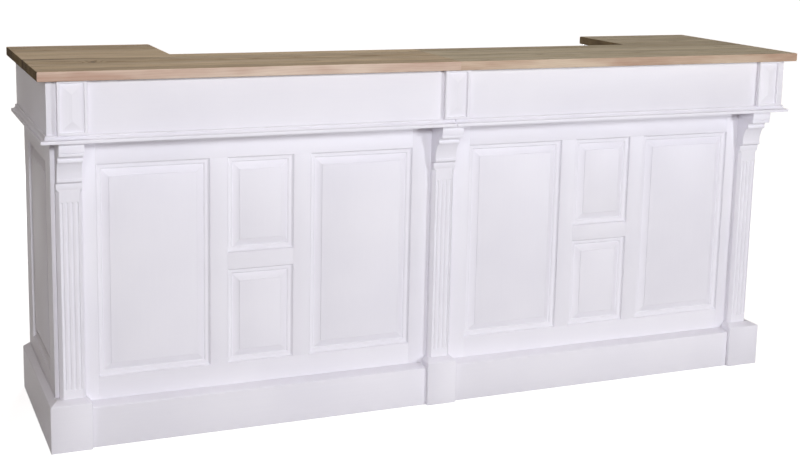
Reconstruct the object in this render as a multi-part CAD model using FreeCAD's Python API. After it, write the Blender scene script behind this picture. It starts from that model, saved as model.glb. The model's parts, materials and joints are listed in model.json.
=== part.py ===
import FreeCAD, Part
import math
import os
from FreeCAD import Vector

# Panelled bar counter with shelves, U-shaped in plan: a front run and a short wing at each end.
# Two mirrored modules meet at X = 0. Millimetres, +Z up, the front faces -Y.
# The origin is on the floor, in the middle of the overall length and depth.

os.makedirs("parts", exist_ok=True)

# ---- overall ----
overall_length = 2470.0
overall_depth = 672.0
overall_height = 1100.0

# ---- oak worktop ----
worktop_thickness = 27.0
front_board_depth = 370.0
wing_board_width = 442.0
worktop_edge_radius = 2.5
front_overhang = 32.0          # worktop beyond the frieze at the front
end_overhang = 26.0            # worktop beyond the frieze at the ends
rear_overhang = 8.0            # worktop beyond the carcass on the serving side

# ---- body ----
frieze_thickness = 20.0
frieze_height = 150.0
body_setback = 94.0            # frieze face to the face of the front panelling
panel_frame_thickness = 30.0
board_thickness = 18.0         # carcass partitions, decks and rails

# ---- cornice moulding under the frieze ----
cornice_height = 22.0
cornice_projection = 18.0
cornice_ledge = 3.0
cornice_fillet_height = 9.0
cornice_fillet_step = 1.5

# ---- panelled front, from the centre line outwards ----
centre_stile_width = 97.0
small_panel_width = 204.0
muntin_width = 52.0
outer_stile_width = 124.0
top_rail_width = 79.0
panel_bottom = 196.0
lower_panel_height = 289.0     # the lower of the two small panels
lock_rail_height = 50.0
bottom_rail_width = 100.0
end_stile_width = 90.0         # stiles of the end frames

# ---- panels and their mouldings ----
groove_depth = 8.0
groove_width = 8.0
panel_moulding_width = 17.0
panel_moulding_depth = 13.0
moulding_quirk = 1.5           # the moulding starts this far behind the frame face
moulding_fillet = 2.5
panel_field_inset = 38.0
panel_field_setback = 3.0
panel_field_step = 2.0
panel_edge_gap = 2.0           # room for the panel to swell in its grooves

# ---- pilasters ----
pilaster_width = 72.0
pilaster_projection = 25.0
pilaster_inset = 11.0          # from the corner of the body
pilaster_neck_height = 25.0
pilaster_chamfer = 9.0
flute_count = 4
flute_width = 8.4
flute_depth = 2.8
flute_spacing = 14.2
flute_top_margin = 28.0        # from the neck to the flutes
flute_foot_margin = 25.0       # from the plinth to the flutes

# ---- corbels ----
corbel_width = 69.0
corbel_height = 126.0
corbel_projection = 84.0
corbel_band_height = 29.0
corbel_quirk_height = 2.5
corbel_quirk_depth = 5.0
corbel_fillet_height = 8.5
corbel_fillet_step = 2.0
corbel_soffit_depth = 12.0
corbel_throat_height = 11.0
corbel_throat_projection = 56.0
corbel_nose_height = 12.0
corbel_nose_swell = 2.5
corbel_cove_projection = 50.0
corbel_cove_height = 49.0
corbel_cove_hollow = 4.5
corbel_foot_projection = 35.0
corbel_foot_quirk = 1.5
corbel_foot_height = 7.0

# ---- blocks on the frieze ----
frieze_block_width = 80.0
frieze_block_projection = 15.0
frieze_block_border = 7.0
frieze_block_groove = 4.0
frieze_block_groove_depth = 7.0
frieze_block_ridge_setback = 1.0
frieze_block_hip = 28.0

# ---- plinth ----
plinth_block_projection = 52.0  # from the panelling face
plinth_block_height = 139.0
plinth_bevel_height = 10.0
centre_block_width = 98.0
corner_block_width = 118.0
end_plinth_projection = 22.0
block_top_margin = 1.0
baseboard_thickness = 40.0
baseboard_height = 121.0
baseboard_bevel = 9.0

# ---- carcass ----
deck_top = 118.0
toe_recess = 22.0
bearer_height = 40.0
rear_rail_height = 50.0
shelf_thickness = 22.0
shelf_tiers = 3
shelf_side_gap = 1.0
shelf_front_gap = 2.0
shelf_rear_setback = 12.0
cleat_height = 20.0
cleat_thickness = 15.0
cleat_setback = 25.0           # from the shelf's rear edge
cleat_nose = 8.0               # bevel on the end that faces the serving side

# ---- fixings ----
joining_bolt_diameter = 6.0
joining_bolt_head = 10.0       # across the flats
joining_bolt_head_thickness = 4.0
joining_bolt_margin = 45.0
joining_bolt_rise = 82.0       # above the deck
joining_bolt_drop = 93.0       # below the worktop
joining_bolt_clearance = 0.3
glue_block_size = 22.0
glue_block_length = 60.0
glue_block_margin = 30.0

# ---- places worked out from the sizes above ----
front = -overall_depth / 2
back = overall_depth / 2
half_length = overall_length / 2
worktop_bottom = overall_height - worktop_thickness
front_board_back = front + front_board_depth
wing_board_edge = half_length - wing_board_width

frieze_front = front + front_overhang
frieze_back = frieze_front + frieze_thickness
frieze_end = half_length - end_overhang
body_end = frieze_end - frieze_thickness
frieze_bottom = worktop_bottom - frieze_height
cornice_bottom = frieze_bottom - cornice_height

body_front = frieze_front + body_setback
frame_back = body_front + panel_frame_thickness
end_frame_inside = body_end - panel_frame_thickness
run_back = front_board_back - rear_overhang
wing_side = wing_board_edge + rear_overhang
wing_inside = wing_side + board_thickness

pilaster_front = body_front - pilaster_projection
pilaster_centre = body_end - pilaster_inset - pilaster_width / 2
corbel_bottom = cornice_bottom - corbel_height
plinth_top = plinth_block_height + plinth_bevel_height
plinth_end = body_end + end_plinth_projection
block_front = body_front - plinth_block_projection

deck_bottom = deck_top - board_thickness
tier_height = (worktop_bottom - deck_top - (shelf_tiers - 1) * shelf_thickness) / shelf_tiers
shelf_bottoms = [deck_top + n * tier_height + (n - 1) * shelf_thickness for n in range(1, shelf_tiers)]

panel_top = cornice_bottom - top_rail_width
lock_rail_bottom = panel_bottom + lower_panel_height
outer_stile_edge = body_end - outer_stile_width
panelled_width = outer_stile_edge - centre_stile_width
large_panel_width = (panelled_width - small_panel_width - 2 * muntin_width) / 2
left_edge_of_large = centre_stile_width
left_edge_of_small = left_edge_of_large + large_panel_width + muntin_width
left_edge_of_outer = left_edge_of_small + small_panel_width + muntin_width


# ---- helpers ----
def block(x0, x1, y0, y1, z0, z1):
    """A rectangular board between three pairs of planes."""
    return Part.makeBox(x1 - x0, y1 - y0, z1 - z0, Vector(x0, y0, z0))


def mirrored(shape, at=0.0):
    """The same shape on the other side of the plane X = at."""
    return shape.mirror(Vector(at, 0, 0), Vector(1, 0, 0))


def face_of(start, steps, place):
    """A flat face. A step is a point, or a pair: a point on an arc and the arc's end."""
    edges = []
    here = start
    for step in steps + [start]:
        if isinstance(step[0], tuple):
            middle, end = step
            edges.append(Part.Arc(place(*here), place(*middle), place(*end)).toShape())
        else:
            end = step
            if end == here:
                continue
            edges.append(Part.LineSegment(place(*here), place(*end)).toShape())
        here = end
    return Part.Face(Part.Wire(edges))


def prism(points, z0, z1):
    """A plan outline made into a solid between two heights."""
    outline = face_of(points[0], points[1:], lambda x, y: Vector(x, y, z0))
    return outline.extrude(Vector(0, 0, z1 - z0))


def faceted(sides):
    """A solid with flat sides, each given by its corners in order."""
    solid = Part.Solid(Part.Shell([Part.Face(Part.makePolygon(side + side[:1])) for side in sides]))
    if solid.Volume < 0:
        solid.reverse()
    return solid


def frustum(low, high):
    """A solid between two rectangles with parallel sides, each given by its four corners in order."""
    sides = [low, high]
    for n in range(4):
        m = (n + 1) % 4
        sides.append([low[n], low[m], high[m], high[n]])
    return faceted(sides)


def rectangle(x0, x1, y, z0, z1):
    """Four corners of a rectangle that faces along Y."""
    return [Vector(x0, y, z0), Vector(x1, y, z0), Vector(x1, y, z1), Vector(x0, y, z1)]


def level(x0, x1, y0, y1, z):
    """Four corners of a level rectangle."""
    return [Vector(x0, y0, z), Vector(x1, y0, z), Vector(x1, y1, z), Vector(x0, y1, z)]


def on_end(shape):
    """Turns a piece that was drawn facing -Y at the origin to face +X on the end of the body."""
    turned = shape.copy()
    turned.rotate(Vector(0, 0, 0), Vector(0, 0, 1), 90)
    turned.translate(Vector(body_end, 0, 0))
    return turned


def moved(shape, x=0.0, y=0.0, z=0.0):
    shape = shape.copy()
    shape.translate(Vector(x, y, z))
    return shape


def save(name, solids):
    shape = solids[0] if len(solids) == 1 else Part.makeCompound(solids)
    shape.exportStep("parts/" + name + ".step")


def save_pair(name, solids):
    """Writes the right-hand piece and its mirror image."""
    save(name + "_right", solids)
    save(name + "_left", [mirrored(solid) for solid in solids])


# ---- worktop: edge-glued oak, the wing board glued to the back of the front board ----
def eased(board, exposed):
    """Rounds the long edges of the faces that the test picks."""
    edges = []
    for edge in board.Edges:
        if edge.BoundBox.ZLength < worktop_thickness / 2 and exposed(edge.BoundBox.Center):
            edges.append(edge)
    return board.makeFillet(worktop_edge_radius, edges)


def arris_waste(x0, x1, z_edge, z_centre):
    """What comes off one arris of the serving-side edge to round it."""
    r = worktop_edge_radius
    z0, z1 = sorted((z_edge, z_centre))
    corner = block(x0, x1, front_board_back - r, front_board_back, z0, z1)
    bar = Part.makeCylinder(r, x1 - x0, Vector(x0, front_board_back - r, z_centre), Vector(1, 0, 0))
    return corner.cut(bar)


def worktop():
    near = 0.01
    r = worktop_edge_radius
    front_board = block(0, half_length, front, front_board_back, worktop_bottom, overall_height)
    front_board = eased(front_board, lambda c: c.y < front + near or c.x > half_length - near)
    for z_edge, z_centre in ((overall_height, overall_height - r), (worktop_bottom, worktop_bottom + r)):
        front_board = front_board.cut(arris_waste(0, wing_board_edge, z_edge, z_centre))
    wing_board = block(wing_board_edge, half_length, front_board_back, back, worktop_bottom, overall_height)
    wing_board = eased(wing_board, lambda c: c.y > front_board_back + near)
    save_pair("worktop_front_board", [front_board.Solids[0]])
    save_pair("worktop_wing_board", [wing_board])


# ---- frieze boards, mitred at the corner ----
def frieze():
    rear = back - rear_overhang
    front_plan = [(0, frieze_front), (frieze_end, frieze_front), (body_end, frieze_back), (0, frieze_back)]
    end_plan = [(frieze_end, frieze_front), (frieze_end, rear), (body_end, rear), (body_end, frieze_back)]
    save_pair("frieze_front_board", [prism(front_plan, frieze_bottom, worktop_bottom)])
    save_pair("frieze_end_board", [prism(end_plan, frieze_bottom, worktop_bottom)])


# ---- cornice: a ledge, an ogee and a square fillet, mitred at the corner ----
def cornice_section(place):
    """The moulding's section. The first coordinate is outwards from the frieze face, the second is up."""
    fillet_top = cornice_bottom + cornice_fillet_height
    foot = cornice_projection - cornice_fillet_step
    turn_x = (cornice_ledge + foot) / 2
    turn_z = (frieze_bottom + fillet_top) / 2
    round_at = (cornice_ledge + 0.62 * (turn_x - cornice_ledge),
                frieze_bottom - 0.38 * (frieze_bottom - turn_z))
    hollow_at = (turn_x + 0.38 * (foot - turn_x),
                 turn_z - 0.62 * (turn_z - fillet_top))
    steps = [
        (cornice_ledge, frieze_bottom),
        (round_at, (turn_x, turn_z)),
        (hollow_at, (foot, fillet_top)),
        (cornice_projection, fillet_top),
        (cornice_projection, cornice_bottom),
        (-frieze_thickness, cornice_bottom),
    ]
    return face_of((-frieze_thickness, frieze_bottom), steps, place)


def cornice_lengths():
    outer_x = frieze_end + cornice_projection
    outer_y = frieze_front - cornice_projection
    rear = back - rear_overhang
    front_section = cornice_section(lambda out, z: Vector(0, frieze_front - out, z))
    end_section = cornice_section(lambda out, z: Vector(frieze_end + out, outer_y, z))
    front_bar = front_section.extrude(Vector(outer_x, 0, 0))
    end_bar = end_section.extrude(Vector(0, rear - outer_y, 0))
    front_plan = [(0, outer_y), (outer_x, outer_y), (body_end, frieze_back), (0, frieze_back)]
    end_plan = [(outer_x, outer_y), (outer_x, rear), (body_end, rear), (body_end, frieze_back)]
    front_length = front_bar.common(prism(front_plan, cornice_bottom, frieze_bottom)).Solids[0]
    end_length = end_bar.common(prism(end_plan, cornice_bottom, frieze_bottom)).Solids[0]
    return [front_length, end_length]


def soffit():
    save_pair("soffit_board", [block(0, body_end, frieze_back, frame_back, cornice_bottom, frieze_bottom)])


# ---- blocks on the frieze: a border, a groove and a hipped field ----
def frieze_block(centre):
    face = frieze_front - frieze_block_projection
    x0 = centre - frieze_block_width / 2
    x1 = centre + frieze_block_width / 2
    z0 = frieze_bottom
    z1 = worktop_bottom
    body = block(x0, x1, face, frieze_front, z0, z1)
    edge = frieze_block_border
    inner = edge + frieze_block_groove
    floor_y = face + frieze_block_groove_depth
    pocket = block(x0 + edge, x1 - edge, face, floor_y, z0 + edge, z1 - edge)
    base = rectangle(x0 + inner, x1 - inner, floor_y, z0 + inner, z1 - inner)
    ridge_y = face + frieze_block_ridge_setback
    lower = Vector(centre, ridge_y, z0 + inner + frieze_block_hip)
    upper = Vector(centre, ridge_y, z1 - inner - frieze_block_hip)
    a, b, c, d = base
    sides = [[a, d, c, b], [a, b, lower], [c, d, upper], [b, c, upper, lower], [d, a, lower, upper]]
    return body.cut(pocket).fuse(faceted(sides)).removeSplitter().Solids[0]


# ---- corbels: band, quirk, fillet, throat, nose, cove and foot, one section along the width ----
def corbel(centre):
    def place(out, z):
        return Vector(centre - corbel_width / 2, body_front - out, z)

    band_foot = cornice_bottom - corbel_band_height
    quirk_foot = band_foot - corbel_quirk_height
    fillet_out = corbel_projection - corbel_fillet_step
    fillet_foot = quirk_foot - corbel_fillet_height
    throat_out = fillet_out - corbel_soffit_depth
    throat_in = corbel_throat_projection
    throat_foot = fillet_foot - corbel_throat_height
    throat_at = (throat_in + 0.35 * (throat_out - throat_in), fillet_foot - 0.35 * corbel_throat_height)
    nose_foot = throat_foot - corbel_nose_height
    nose_at = (throat_in + corbel_nose_swell, throat_foot - corbel_nose_height / 2)
    cove_out = corbel_cove_projection
    cove_foot = nose_foot - corbel_cove_height
    foot_out = corbel_foot_projection
    cove_at = ((cove_out + foot_out) / 2 - corbel_cove_hollow, nose_foot - corbel_cove_height / 2)
    lip_out = foot_out + corbel_foot_quirk
    lip_foot = cove_foot - corbel_foot_height
    steps = [
        (corbel_projection, cornice_bottom),
        (corbel_projection, band_foot),
        (corbel_projection - corbel_quirk_depth, band_foot),
        (corbel_projection - corbel_quirk_depth, quirk_foot),
        (fillet_out, quirk_foot),
        (fillet_out, fillet_foot),
        (throat_out, fillet_foot),
        (throat_at, (throat_in, throat_foot)),
        (nose_at, (throat_in, nose_foot)),
        (cove_out, nose_foot),
        (cove_at, (foot_out, cove_foot)),
        (lip_out, cove_foot),
        (lip_out, lip_foot),
        (pilaster_projection + block_top_margin, corbel_bottom),
        (0, corbel_bottom),
    ]
    return face_of((0, cornice_bottom), steps, place).extrude(Vector(corbel_width, 0, 0))


# ---- pilasters: square neck, stopped chamfers and round-ended flutes ----
def chamfer_cutter(edge_x, inwards):
    """A prism along the corner that fades out below the neck."""
    size = pilaster_chamfer
    stop = corbel_bottom - pilaster_neck_height
    corner = [
        (edge_x, pilaster_front),
        (edge_x + inwards * size, pilaster_front),
        (edge_x, pilaster_front + size),
    ]
    shank = prism(corner, plinth_top, stop - size)
    a, b, c = [Vector(x, y, stop - size) for x, y in corner]
    tip = Vector(edge_x, pilaster_front, stop)
    fade = faceted([[a, c, b], [a, b, tip], [b, c, tip], [c, a, tip]])
    return shank.fuse(fade)


def flute_cutter(x, low, high):
    """A shallow round groove with round ends, from low to high."""
    radius = (flute_width ** 2 / 4 + flute_depth ** 2) / (2 * flute_depth)
    axis_y = pilaster_front + flute_depth - radius
    half = flute_width / 2
    shank = Part.makeCylinder(radius, high - low - flute_width, Vector(x, axis_y, low + half))
    ends = [Part.makeSphere(radius, Vector(x, axis_y, z)) for z in (low + half, high - half)]
    return shank.fuse(ends)


def pilaster(centre):
    x0 = centre - pilaster_width / 2
    x1 = centre + pilaster_width / 2
    post = block(x0, x1, pilaster_front, body_front, plinth_top, corbel_bottom)
    post = post.cut(chamfer_cutter(x0, 1)).cut(chamfer_cutter(x1, -1))
    low = plinth_top + flute_foot_margin
    high = corbel_bottom - pilaster_neck_height - flute_top_margin
    first = centre - flute_spacing * (flute_count - 1) / 2
    for n in range(flute_count):
        post = post.cut(flute_cutter(first + n * flute_spacing, low, high))
    return post.Solids[0]


# ---- plinth: blocks under the pilasters, baseboards between them ----
def plinth_block(x0, x1, top_x0, top_x1):
    """A block whose bevelled top ends at the foot of the pilaster."""
    body = block(x0, x1, block_front, body_front, 0, plinth_block_height)
    low = level(x0, x1, block_front, body_front, plinth_block_height)
    high = level(top_x0, top_x1, pilaster_front - block_top_margin, body_front, plinth_top)
    return body.fuse(frustum(low, high)).removeSplitter().Solids[0]


def plinth():
    half_top = pilaster_width / 2 + block_top_margin
    half_block = centre_block_width / 2
    inner_edge = plinth_end - corner_block_width
    save("plinth_block_centre", [plinth_block(-half_block, half_block, -half_top, half_top)])
    save_pair("plinth_block", [plinth_block(inner_edge, plinth_end, pilaster_centre - half_top, body_end)])

    board_front = body_front - baseboard_thickness
    section = [
        (body_front, baseboard_height + baseboard_bevel),
        (board_front, baseboard_height),
        (board_front, 0),
        (body_front, 0),
    ]
    outline = face_of(section[0], section[1:], lambda y, z: Vector(half_block, y, z))
    save_pair("baseboard_front", [outline.extrude(Vector(inner_edge - half_block, 0, 0))])

    section = [(body_end, plinth_top), (plinth_end, plinth_block_height), (plinth_end, 0), (body_end, 0)]
    outline = face_of(section[0], section[1:], lambda x, z: Vector(x, body_front, z))
    save_pair("baseboard_end", [outline.extrude(Vector(0, back - rear_overhang - body_front, 0))])


# ---- frame members: every inner edge has a groove for the panels and the stub tenons ----
groove_front = panel_moulding_depth
groove_back = panel_moulding_depth + groove_width


def upright(x0, x1, z0, z1, grooved_left, grooved_right, height_range):
    """A stile or muntin, its face at Y = 0. Grooves run over height_range."""
    member = block(x0, x1, 0, panel_frame_thickness, z0, z1)
    g0, g1 = height_range
    if grooved_left:
        member = member.cut(block(x0, x0 + groove_depth, groove_front, groove_back, g0, g1))
    if grooved_right:
        member = member.cut(block(x1 - groove_depth, x1, groove_front, groove_back, g0, g1))
    return member


def rail(x0, x1, z0, z1, grooves):
    """A rail with stub tenons that stop short of its grooves. The grooves are 'up', 'down' or both."""
    tenon0 = z0 + groove_depth if "down" in grooves else z0
    tenon1 = z1 - groove_depth if "up" in grooves else z1
    member = block(x0, x1, 0, panel_frame_thickness, z0, z1)
    tenon = block(x0 - groove_depth, x1 + groove_depth, groove_front, groove_back, tenon0, tenon1)
    member = member.fuse(tenon).removeSplitter()
    for side in grooves:
        low = z1 - groove_depth if side == "up" else z0
        member = member.cut(block(x0, x1, groove_front, groove_back, low, low + groove_depth))
    return member.Solids[0]


def front_frame():
    frame_top = cornice_bottom
    rail_bottom = panel_bottom - bottom_rail_width
    span = (rail_bottom, frame_top)
    small0 = left_edge_of_small
    small1 = small0 + small_panel_width
    outer0 = left_edge_of_outer
    large1 = left_edge_of_large + large_panel_width
    stiles = [
        upright(0, centre_stile_width, 0, frame_top, False, True, span),
        upright(outer_stile_edge, body_end, 0, frame_top, True, False, span),
    ]
    between = (panel_bottom - groove_depth, panel_top + groove_depth)
    muntins = [
        upright(large1, small0, panel_bottom, panel_top, True, True, between),
        upright(small1, outer0, panel_bottom, panel_top, True, True, between),
    ]
    muntins = [with_tenons(muntin) for muntin in muntins]
    run = (centre_stile_width, outer_stile_edge)
    rails = [
        rail(run[0], run[1], rail_bottom, panel_bottom, ["up"]),
        rail(run[0], run[1], panel_top, frame_top, ["down"]),
        rail(small0, small1, lock_rail_bottom, lock_rail_bottom + lock_rail_height, ["up", "down"]),
    ]
    save_pair("front_frame_uprights", [moved(member, 0, body_front, 0) for member in stiles + muntins])
    save_pair("front_frame_rails", [moved(member, 0, body_front, 0) for member in rails])


def with_tenons(muntin):
    """Adds the stub tenons that enter the rails above and below."""
    box = muntin.BoundBox
    tenon = block(box.XMin + groove_depth, box.XMax - groove_depth, groove_front, groove_back,
                  box.ZMin - groove_depth, box.ZMax + groove_depth)
    return muntin.fuse(tenon).removeSplitter().Solids[0]


def end_frame():
    """The framing of one end, drawn facing -Y: X runs from the front stile's back to the rear."""
    start = frame_back
    rear = back - rear_overhang
    opening0 = body_front + end_stile_width
    opening1 = rear - end_stile_width
    rail_bottom = panel_bottom - bottom_rail_width
    span = (rail_bottom, worktop_bottom)
    stiles = [
        upright(start, opening0, 0, worktop_bottom, False, True, span),
        upright(opening1, rear, 0, worktop_bottom, True, False, span),
    ]
    rails = [
        rail(opening0, opening1, rail_bottom, panel_bottom, ["up"]),
        rail(opening0, opening1, panel_top, worktop_bottom, ["down"]),
    ]
    return [on_end(member) for member in stiles + rails], opening0, opening1 - opening0


# ---- panels: a tongue all round, a bevel, a small step and a flat field ----
def raised_panel(width, height):
    """Drawn facing -Y, with the opening's lower left corner at the origin."""
    reach = groove_depth - panel_edge_gap
    m = panel_moulding_width
    f = panel_field_inset
    step_y = panel_field_setback + panel_field_step
    tongue = block(-reach, width + reach, groove_front, groove_back, -reach, height + reach)
    low = rectangle(m, width - m, groove_front, m, height - m)
    high = rectangle(f, width - f, step_y, f, height - f)
    field = block(f, width - f, panel_field_setback, step_y, f, height - f)
    return tongue.fuse([frustum(low, high), field]).removeSplitter().Solids[0]


# ---- panel mouldings: a quirk, an ogee and a fillet, four mitred lengths to a panel ----
def moulding_strip(length):
    """The lower length: it runs along X, its section rises from the opening's edge."""
    w = panel_moulding_width
    d = panel_moulding_depth
    foot = w - moulding_fillet
    foot_depth = d - moulding_fillet
    turn = (moulding_fillet + foot) / 2
    turn_depth = (moulding_quirk + foot_depth) / 2
    round_at = (moulding_fillet + 0.68 * (turn - moulding_fillet),
                moulding_quirk + 0.32 * (turn_depth - moulding_quirk))
    hollow_at = (turn + 0.32 * (foot - turn), turn_depth + 0.68 * (foot_depth - turn_depth))
    steps = [
        (moulding_fillet, moulding_quirk),
        (round_at, (turn, turn_depth)),
        (hollow_at, (foot, foot_depth)),
        (w, foot_depth),
        (w, d),
        (0, d),
    ]
    section = face_of((0, moulding_quirk), steps, lambda u, v: Vector(0, v, u))
    bar = section.extrude(Vector(length, 0, 0))
    plan = face_of((0, 0), [(length, 0), (length - w, w), (w, w)], lambda x, z: Vector(x, 0, z))
    return bar.common(plan.extrude(Vector(0, d, 0))).Solids[0]


def moulding_frame(width, height):
    bottom = moulding_strip(width)
    left = moulding_strip(height).mirror(Vector(0, 0, 0), Vector(1, 0, -1))
    top = bottom.mirror(Vector(0, 0, height / 2), Vector(0, 0, 1))
    right = mirrored(left, width / 2)
    return [bottom, top, left, right]


def panels():
    tall = panel_top - panel_bottom
    upper_bottom = lock_rail_bottom + lock_rail_height
    strips = []

    def fitted(x, z, width, height):
        strips.extend(moved(strip, x, body_front, z) for strip in moulding_frame(width, height))
        return moved(raised_panel(width, height), x, body_front, z)

    save_pair("large_panel_inner", [fitted(left_edge_of_large, panel_bottom, large_panel_width, tall)])
    save_pair("large_panel_outer", [fitted(left_edge_of_outer, panel_bottom, large_panel_width, tall)])
    save_pair("small_panels", [
        fitted(left_edge_of_small, panel_bottom, small_panel_width, lower_panel_height),
        fitted(left_edge_of_small, upper_bottom, small_panel_width, panel_top - upper_bottom),
    ])

    members, start, width = end_frame()
    save_pair("end_frame", members)
    save_pair("end_panel", [on_end(moved(raised_panel(width, tall), start, 0, panel_bottom))])
    strips += [on_end(moved(strip, start, 0, panel_bottom)) for strip in moulding_frame(width, tall)]
    save_pair("panel_mouldings", strips)


# ---- carcass: partitions, decks, shelves and rails ----
def bolt_places():
    rows = (frame_back + joining_bolt_margin, run_back - joining_bolt_margin)
    return [(y, z) for y in rows for z in (deck_top + joining_bolt_rise, worktop_bottom - joining_bolt_drop)]


def carcass():
    rear = back - rear_overhang
    centre = block(0, board_thickness, frame_back, run_back, 0, worktop_bottom)
    hole = joining_bolt_diameter / 2 + joining_bolt_clearance
    for y, z in bolt_places():
        centre = centre.cut(Part.makeCylinder(hole, board_thickness, Vector(0, y, z), Vector(1, 0, 0)))
    side = block(wing_side, wing_inside, frame_back, rear, 0, worktop_bottom)
    save_pair("centre_partition", [centre])
    save_pair("wing_side_panel", [side])

    run_deck = block(board_thickness, wing_side, frame_back, run_back, deck_bottom, deck_top)
    wing_deck = block(wing_inside, end_frame_inside, frame_back, rear, deck_bottom, deck_top)
    save_pair("deck", [run_deck, wing_deck])

    compartments = ((board_thickness, wing_side, run_back), (wing_inside, end_frame_inside, rear))
    rails = []
    for x0, x1, open_side in compartments:
        toe = open_side - toe_recess
        rails.append(block(x0, x1, toe - board_thickness, toe, 0, deck_bottom))
        rails.append(block(x0, x1, frame_back, frame_back + board_thickness,
                           deck_bottom - bearer_height, deck_bottom))
        rails.append(block(x0, x1, open_side - board_thickness, open_side,
                           worktop_bottom - rear_rail_height, worktop_bottom))
    save_pair("carcass_rails", rails)

    blocks = []
    size = glue_block_size
    for x, open_side in ((board_thickness, run_back), (wing_side - size, run_back),
                         (wing_inside, rear), (end_frame_inside - size, rear)):
        near_end = frame_back + glue_block_margin
        far_end = open_side - board_thickness - glue_block_margin - glue_block_length
        for y in (near_end, far_end):
            blocks.append(block(x, x + size, y, y + glue_block_length, worktop_bottom - size, worktop_bottom))
    save("worktop_glue_blocks", blocks + [mirrored(glued) for glued in blocks])


def shelf_cleat(x, rear_edge, top):
    """A batten under the end of a shelf, its open end bevelled."""
    y0 = frame_back
    y1 = rear_edge - cleat_setback
    z0 = top - cleat_height
    corners = [(y1, z0 + cleat_nose), (y1, top), (y0, top), (y0, z0)]
    outline = face_of((y1 - cleat_nose, z0), corners, lambda y, z: Vector(x, y, z))
    return outline.extrude(Vector(cleat_thickness, 0, 0))


def shelves():
    y0 = frame_back + shelf_front_gap
    compartments = (
        (board_thickness, wing_side, run_back - shelf_rear_setback),
        (wing_inside, end_frame_inside, back - rear_overhang - shelf_rear_setback),
    )
    cleats = []
    for name, bottom in zip(("shelf_lower", "shelf_upper"), shelf_bottoms):
        boards = []
        for x0, x1, rear_edge in compartments:
            boards.append(block(x0 + shelf_side_gap, x1 - shelf_side_gap, y0, rear_edge,
                                bottom, bottom + shelf_thickness))
            cleats.append(shelf_cleat(x0, rear_edge, bottom))
            cleats.append(shelf_cleat(x1 - cleat_thickness, rear_edge, bottom))
        save_pair(name, boards)
    save_pair("shelf_cleats", cleats)


# ---- the hexagon bolts that join the two modules ----
def hexagon(x, y, z, length):
    """A hexagonal prism along X with two of its flats level."""
    radius = joining_bolt_head / math.sqrt(3)
    turns = [math.radians(60 * n) for n in range(6)]
    corners = [Vector(x, y + radius * math.cos(turn), z + radius * math.sin(turn)) for turn in turns]
    return Part.Face(Part.makePolygon(corners + corners[:1])).extrude(Vector(length, 0, 0))


def joining_bolts():
    head = joining_bolt_head_thickness
    reach = board_thickness + head
    bolts = []
    for y, z in bolt_places():
        shank = Part.makeCylinder(joining_bolt_diameter / 2, 2 * reach, Vector(-reach, y, z), Vector(1, 0, 0))
        ends = [hexagon(-reach, y, z, head), hexagon(board_thickness, y, z, head)]
        bolts.append(shank.fuse(ends).removeSplitter().Solids[0])
    save("joining_bolts", bolts)


worktop()
frieze()
save_pair("cornice_moulding", cornice_lengths())
soffit()
save("frieze_block_centre", [frieze_block(0)])
save_pair("frieze_block", [frieze_block(pilaster_centre)])
save("corbel_centre", [corbel(0)])
save_pair("corbel", [corbel(pilaster_centre)])
save("pilaster_centre", [pilaster(0)])
save_pair("pilaster", [pilaster(pilaster_centre)])
plinth()
front_frame()
panels()
carcass()
shelves()
joining_bolts()
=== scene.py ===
import json
import math
import bmesh
import bpy
import numpy as np
from mathutils import Matrix, Vector


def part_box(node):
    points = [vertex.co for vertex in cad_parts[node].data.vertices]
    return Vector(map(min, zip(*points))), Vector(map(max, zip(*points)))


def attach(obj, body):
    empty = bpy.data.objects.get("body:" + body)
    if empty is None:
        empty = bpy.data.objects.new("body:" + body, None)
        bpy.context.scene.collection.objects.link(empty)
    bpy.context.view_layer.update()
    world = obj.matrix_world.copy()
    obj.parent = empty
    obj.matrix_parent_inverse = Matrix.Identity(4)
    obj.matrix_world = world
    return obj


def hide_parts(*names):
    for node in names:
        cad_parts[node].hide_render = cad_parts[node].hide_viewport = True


# Panelled bar counter with shelves. Metres in the scene, millimetres in the dictionaries of pieces.
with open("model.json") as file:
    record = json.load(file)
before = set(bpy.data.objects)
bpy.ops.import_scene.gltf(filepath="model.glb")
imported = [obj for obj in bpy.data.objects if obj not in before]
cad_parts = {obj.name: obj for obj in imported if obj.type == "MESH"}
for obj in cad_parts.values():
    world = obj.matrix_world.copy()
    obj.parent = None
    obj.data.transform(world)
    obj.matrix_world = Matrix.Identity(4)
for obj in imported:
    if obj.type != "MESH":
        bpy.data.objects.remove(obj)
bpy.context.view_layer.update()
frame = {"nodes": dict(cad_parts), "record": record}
nodes = frame["nodes"]
slotOf = {part["node"]: part["material_slot"] for part in frame["record"]["subparts"]}
mm = 0.001
sides = (("left", -1), ("right", 1))   # a side's name, and its sign along X
print("frame loaded:", len(nodes), "nodes")


def linearColour(hexText):  # sRGB hex to the linear values that shaders work in
    parts = [int(hexText[i:i + 2], 16) / 255 for i in (1, 3, 5)]
    return [c / 12.92 if c <= 0.04045 else ((c + 0.055) / 1.055) ** 2.4 for c in parts] + [1.0]


def addNode(tree, kind, settings=None, inputs=None):  # an input is a number, hex colour, node or socket
    node = tree.nodes.new("ShaderNode" + kind)
    for name, value in (settings or {}).items():
        setattr(node, name, value)
    for key, value in (inputs or {}).items():
        if isinstance(value, bpy.types.Node):
            value = value.outputs[0]
        if isinstance(value, bpy.types.NodeSocket):
            tree.links.new(value, node.inputs[key])
        else:
            node.inputs[key].default_value = linearColour(value) if isinstance(value, str) else value
    return node


def newMaterial(name):
    material = bpy.data.materials.new(name)
    material.use_nodes = True
    material.node_tree.nodes.clear()
    return material, material.node_tree


noiseLow, noiseHigh = 0.3, 0.7   # most values of a noise lie between these

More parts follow.
